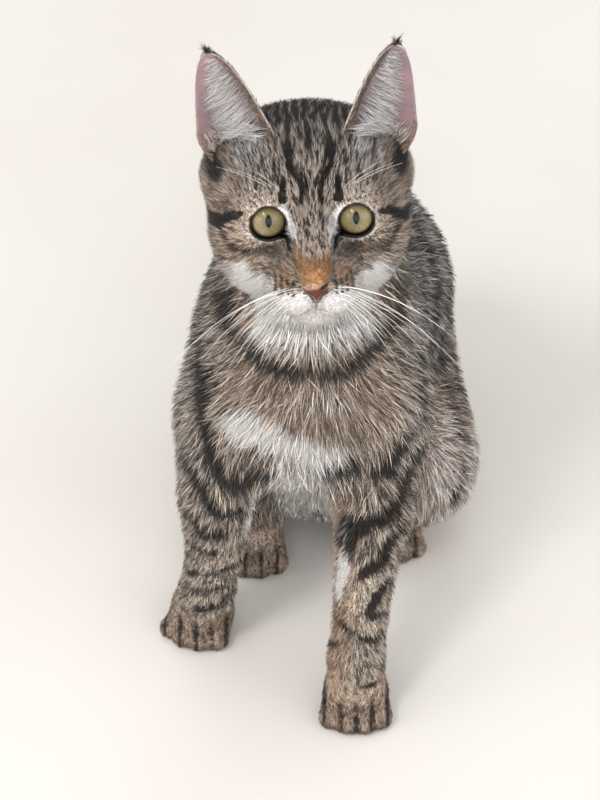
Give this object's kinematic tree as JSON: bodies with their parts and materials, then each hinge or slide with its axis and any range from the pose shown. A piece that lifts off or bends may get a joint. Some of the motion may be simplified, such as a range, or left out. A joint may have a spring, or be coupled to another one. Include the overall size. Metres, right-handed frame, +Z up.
{
  "type": "cat, young tabby shorthair, sitting still model",
  "caption": "Life-size still model of a young brown tabby shorthair cat sitting upright and looking up, as for a museum display.",
  "frame": {"origin": "middle of the model's footprint, on the floor", "axes": "+Z up, the cat faces -Y, +X towards its left side"},
  "size_m": [0.1538, 0.4114, 0.3228],
  "materials": {
    "coat": "short dense tabby fur, dark bands on grizzled brown, paler below",
    "inner_ear": "bare pinkish skin with a satin surface",
    "nose_leather": "fine pebbled brick-red nose skin, slightly moist",
    "eye": "clear wet cornea over a pale olive iris with a narrow upright pupil",
    "whisker": "stiff white whisker",
    "claw": "translucent horn"
  },
  "bodies": {
    "root": {"head": "coat", "jaw": "coat", "neck": "coat", "chest": "coat", "belly": "coat", "rump": "coat", "foreleg_left": "coat", "foreleg_right": "coat", "forepaw_left": "coat", "forepaw_right": "coat", "thigh_left": "coat", "thigh_right": "coat", "hind_foot_left": "coat", "hind_foot_right": "coat", "tail_base": "coat", "tail_middle": "coat", "tail_tip": "coat", "ear_left": "coat", "ear_right": "coat", "nose": "nose_leather", "eye_left": "eye", "eye_right": "eye"}
  },
  "joints": []
}
